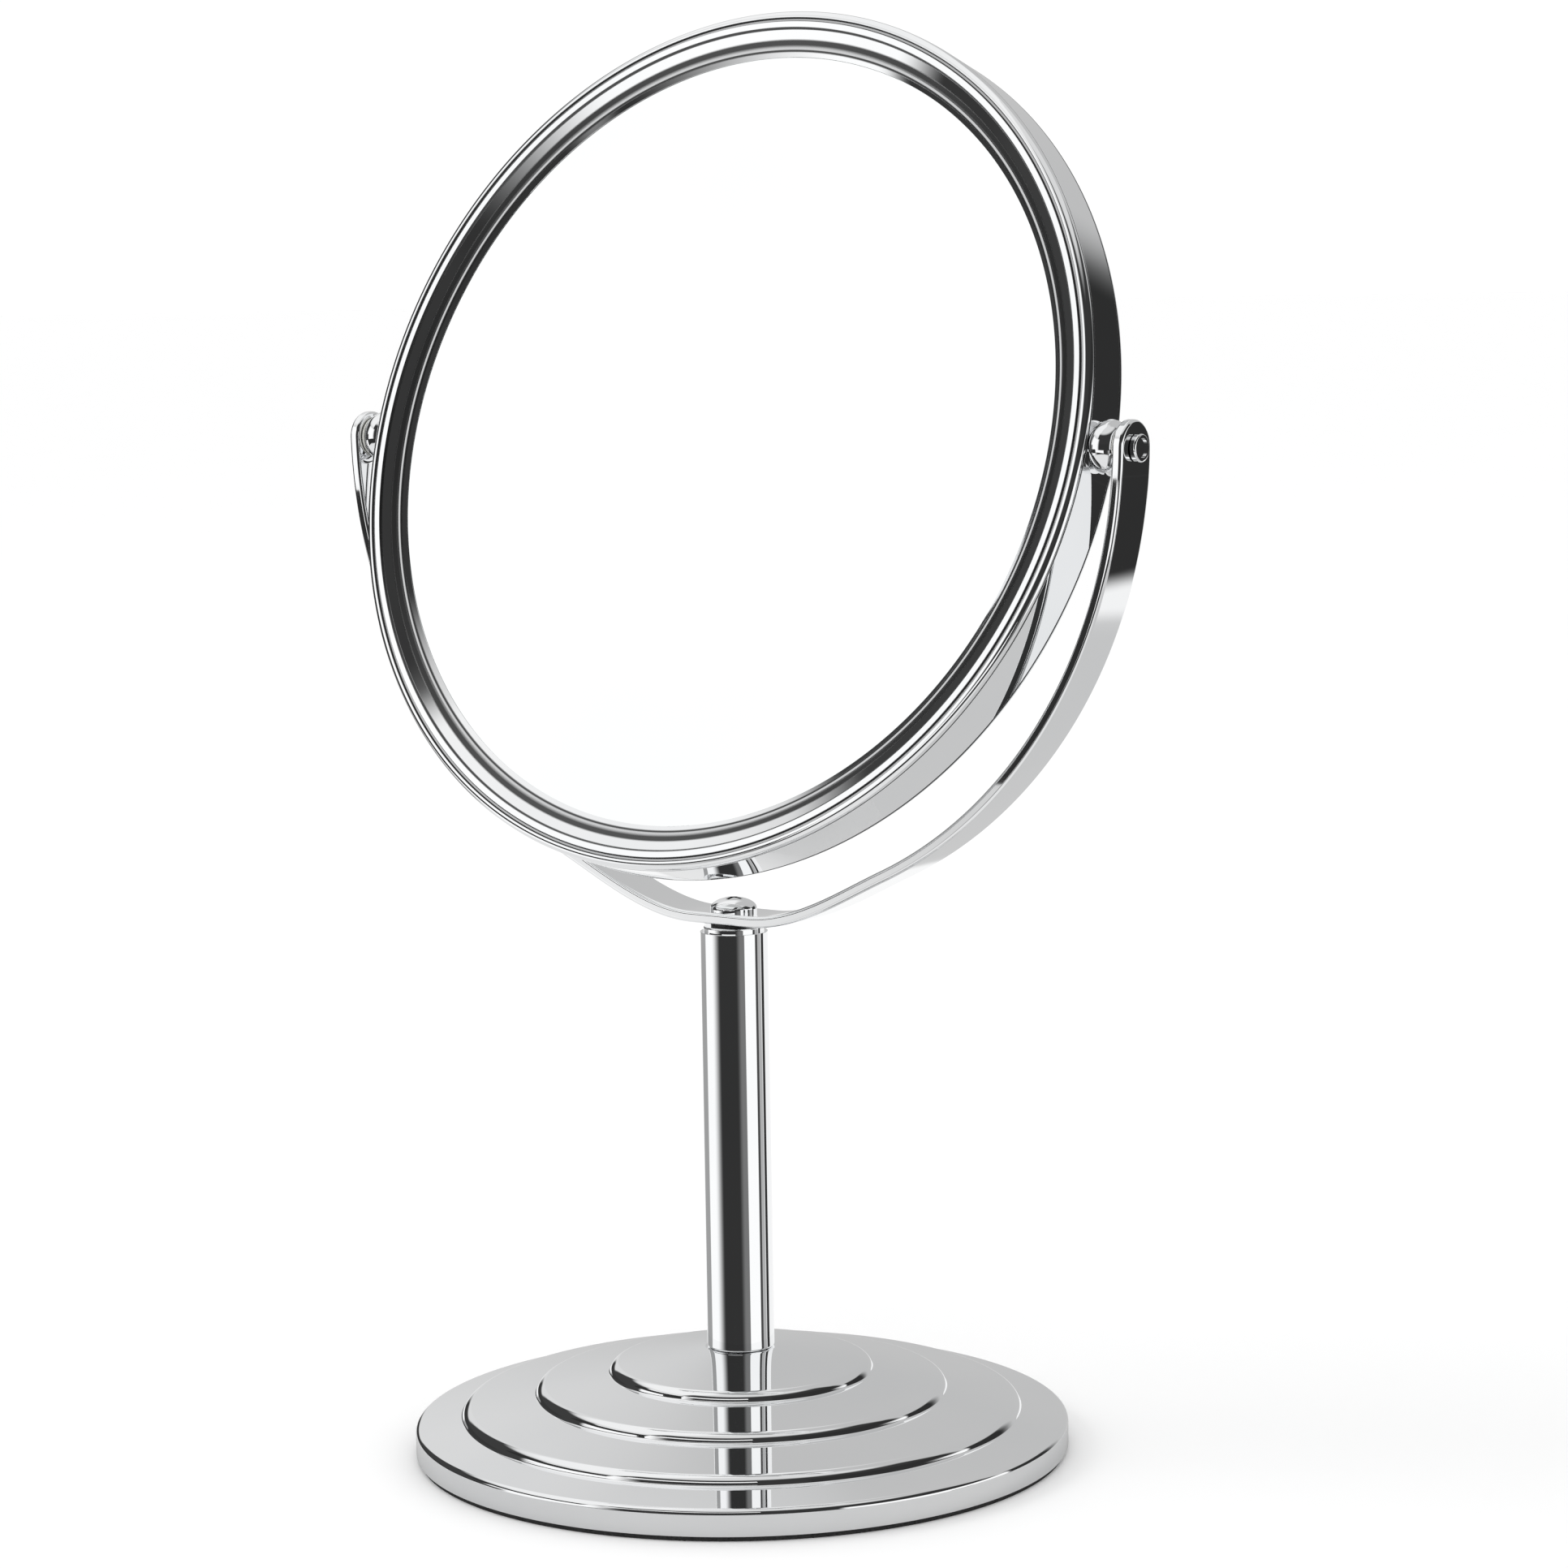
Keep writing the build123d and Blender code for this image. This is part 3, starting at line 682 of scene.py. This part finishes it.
def studio_world():
    """A soft studio all round: pale walls, wide soft boxes and the darker room behind the camera."""
    world = bpy.data.worlds.new("studio")
    scene.world = world
    world.use_nodes = True
    nodes, links = world.node_tree.nodes, world.node_tree.links
    nodes.clear()

    def math_node(operation, *values):
        node = nodes.new("ShaderNodeMath")
        node.operation = operation
        for index, value in enumerate(values):
            if isinstance(value, (int, float)):
                node.inputs[index].default_value = value
            else:
                links.new(value, node.inputs[index])
        return node.outputs[0]

    def fade(source, middle, softness, before, after):
        """A smooth change from one value to another, centred on an angle in degrees."""
        share = nodes.new("ShaderNodeMapRange")
        share.interpolation_type = "SMOOTHSTEP"
        share.inputs["From Min"].default_value = math.radians(middle - softness / 2)
        share.inputs["From Max"].default_value = math.radians(middle + softness / 2)
        share.inputs["To Min"].default_value = before
        share.inputs["To Max"].default_value = after
        links.new(source, share.inputs["Value"])
        return share.outputs["Result"]

    def window(source, low, high, soft_low, soft_high):
        """1 between two angles and 0 outside them."""
        return math_node("MULTIPLY", fade(source, low, soft_low, 0, 1), fade(source, high, soft_high, 1, 0))

    coords = nodes.new("ShaderNodeTexCoord")
    split = nodes.new("ShaderNodeSeparateXYZ")
    links.new(coords.outputs["Generated"], split.inputs[0])
    towards_viewer = math_node("MULTIPLY", split.outputs["Y"], -1.0)
    bearing = math_node("ARCTAN2", split.outputs["X"], towards_viewer)
    path = nodes.new("ShaderNodeLightPath")
    # A reflection of a reflection meets the low row of boxes, unless it looks up steeply.
    repeated = math_node("GREATER_THAN", path.outputs["Ray Depth"], FIRST_REFLECTION_DEPTH + 0.5)
    first_elevation = math_node("ARCSINE", split.outputs["Z"])
    shallow = math_node("LESS_THAN", first_elevation, STEEP_GLANCE)
    repeated = math_node("MULTIPLY", repeated, shallow)
    shortfall = math_node("SUBTRACT", SECOND_GLANCE, first_elevation)
    elevation = math_node("MULTIPLY_ADD", shortfall, repeated, first_elevation)
    level = BASE_LEVEL
    for name, start, stop, soft_start, soft_stop, low, high, soft_low, soft_high, patch_level in PATCHES:
        middle = (start + stop) / 2
        turned = math_node("SUBTRACT", bearing, AZIMUTH + math.radians(middle))
        turned = math_node("WRAP", turned, math.pi, -math.pi)  # so that a patch may cross the back
        across = window(turned, start - middle, stop - middle, soft_start, soft_stop)
        upright = window(elevation, low, high, soft_low, soft_high)
        share = math_node("MULTIPLY", across, upright)
        mix = nodes.new("ShaderNodeMix")
        mix.label = name
        links.new(share, mix.inputs["Factor"])
        if isinstance(level, float):
            mix.inputs["A"].default_value = level
        else:
            links.new(level, mix.inputs["A"])
        mix.inputs["B"].default_value = patch_level
        level = mix.outputs["Result"]

    backgrounds = {}
    for name, strength in (("reflected", level), ("lighting", ROOM_LIGHT), ("seen", BACKDROP_LEVEL)):
        background = nodes.new("ShaderNodeBackground")
        background.label = name
        background.inputs["Color"].default_value = (1, 1, 1, 1)
        if isinstance(strength, float):
            background.inputs["Strength"].default_value = strength
        else:
            links.new(strength, background.inputs["Strength"])
        backgrounds[name] = background.outputs[0]
    for_diffuse = nodes.new("ShaderNodeMixShader")
    links.new(path.outputs["Is Diffuse Ray"], for_diffuse.inputs[0])
    links.new(backgrounds["reflected"], for_diffuse.inputs[1])
    links.new(backgrounds["lighting"], for_diffuse.inputs[2])
    for_camera = nodes.new("ShaderNodeMixShader")
    links.new(path.outputs["Is Camera Ray"], for_camera.inputs[0])
    links.new(for_diffuse.outputs[0], for_camera.inputs[1])
    links.new(backgrounds["seen"], for_camera.inputs[2])
    output = nodes.new("ShaderNodeOutputWorld")
    links.new(for_camera.outputs[0], output.inputs["Surface"])


studio_world()


def stage_piece(name, points, faces):
    mesh = bpy.data.meshes.new(name)
    mesh.from_pydata(points, [], faces)
    piece = bpy.data.objects.new(name, mesh)
    scene.collection.objects.link(piece)
    return piece


def seen_in_chrome_only(piece):
    piece.visible_camera = False
    piece.visible_diffuse = False
    piece.visible_shadow = False


def disc(name, radius, height, segments=96):
    points = [Vector((0, 0, height))]
    points += [
        Vector((radius * math.cos(a), radius * math.sin(a), height))
        for a in (2 * math.pi * i / segments for i in range(segments))
    ]
    return stage_piece(name, points, [(0, 1 + i, 1 + (i + 1) % segments) for i in range(segments)])


def floor_material(name, level):
    material, nodes, links, shader = new_material(name)
    shader.inputs["Roughness"].default_value = 0.9
    shader.inputs["Specular IOR Level"].default_value = 0.0
    mottle = noise(nodes, links, 6.0)
    tint = ramp(nodes, links, mottle.outputs["Fac"], [(0.3, grey(level - 0.005)), (0.7, grey(level))])
    links.new(tint.outputs["Color"], shader.inputs["Base Color"])
    return material


floor = disc("floor", FLOOR_RADIUS, 0.0)
dress(floor, floor_material("pale_floor", FLOOR_LEVEL))
floor.visible_glossy = False
# What the chrome sees of the table close to the base.
table_top = disc("table_top", TABLE_RADIUS, TABLE_HEIGHT)
dress(table_top, floor_material("pale_table", TABLE_LEVEL))
seen_in_chrome_only(table_top)


def card(name, bearing_from, bearing_to, distance, low, high, level, bends=12):
    """An upright curved card round the object that only polished surfaces see."""
    points = []
    for step in range(bends + 1):
        turn = math.radians(bearing_from + (bearing_to - bearing_from) * step / bends) + AZIMUTH
        x, y = distance * math.sin(turn), -distance * math.cos(turn)
        points += [Vector((x, y, height)) for height in (low, high)]
    piece = stage_piece(name, points, [(2 * i, 2 * i + 2, 2 * i + 3, 2 * i + 1) for i in range(bends)])
    material, _, _, shader = new_material(name)
    shader.inputs["Base Color"].default_value = (0, 0, 0, 1)
    shader.inputs["Specular IOR Level"].default_value = 0.0
    shader.inputs["Emission Color"].default_value = (1, 1, 1, 1)
    shader.inputs["Emission Strength"].default_value = level
    dress(piece, material)
    seen_in_chrome_only(piece)


card("front_card", -46, 6, distance=0.30, low=0.145, high=0.195, level=1.1)
card("left_flag", -106, -52, distance=0.35, low=0.112, high=0.205, level=0.03)

KEY_WIDTH, KEY_POWER = 0.9, 5.0
KEY_PLACE, KEY_AIM = Vector((-1.3, -0.9, 1.5)), Vector((0, 0, 0.1))
key_data = bpy.data.lights.new("key", "AREA")
key_data.shape = "DISK"
key_data.size = KEY_WIDTH
key_data.energy = KEY_POWER
key = bpy.data.objects.new("key", key_data)
scene.collection.objects.link(key)
key.location = KEY_PLACE
key.rotation_mode = "QUATERNION"
key.rotation_quaternion = (KEY_AIM - KEY_PLACE).to_track_quat("-Z", "Y")
key.visible_glossy = False

scene.view_settings.view_transform = "Standard"
scene.view_settings.look = "None"

# ---- Camera: AZIMUTH to the right of the mirror's front ----
ELEVATION, ROLL = math.radians(6.985), math.radians(-0.9)
DISTANCE = 0.958
TARGET_RIGHT, TARGET_UP = 0.0119, 0.15355
LENS, SENSOR_WIDTH = 97.17, 36.0
camera_data = bpy.data.cameras.new("camera")
camera = bpy.data.objects.new("camera", camera_data)
scene.collection.objects.link(camera)
scene.camera = camera
camera_data.lens = LENS
camera_data.sensor_width = SENSOR_WIDTH
camera_data.clip_start = 0.05
camera_data.clip_end = 50
back = Vector((
    math.sin(AZIMUTH) * math.cos(ELEVATION),
    -math.cos(AZIMUTH) * math.cos(ELEVATION),
    math.sin(ELEVATION),
))
right = Vector((math.cos(AZIMUTH), math.sin(AZIMUTH), 0))
target = right * TARGET_RIGHT + Vector((0, 0, TARGET_UP))
rolled_right = right * math.cos(ROLL) + back.cross(right) * math.sin(ROLL)
rolled_up = back.cross(rolled_right)
camera.matrix_world = Matrix.Translation(target + back * DISTANCE) @ Matrix((
    (rolled_right.x, rolled_up.x, back.x, 0),
    (rolled_right.y, rolled_up.y, back.y, 0),
    (rolled_right.z, rolled_up.z, back.z, 0),
    (0, 0, 0, 1),
))
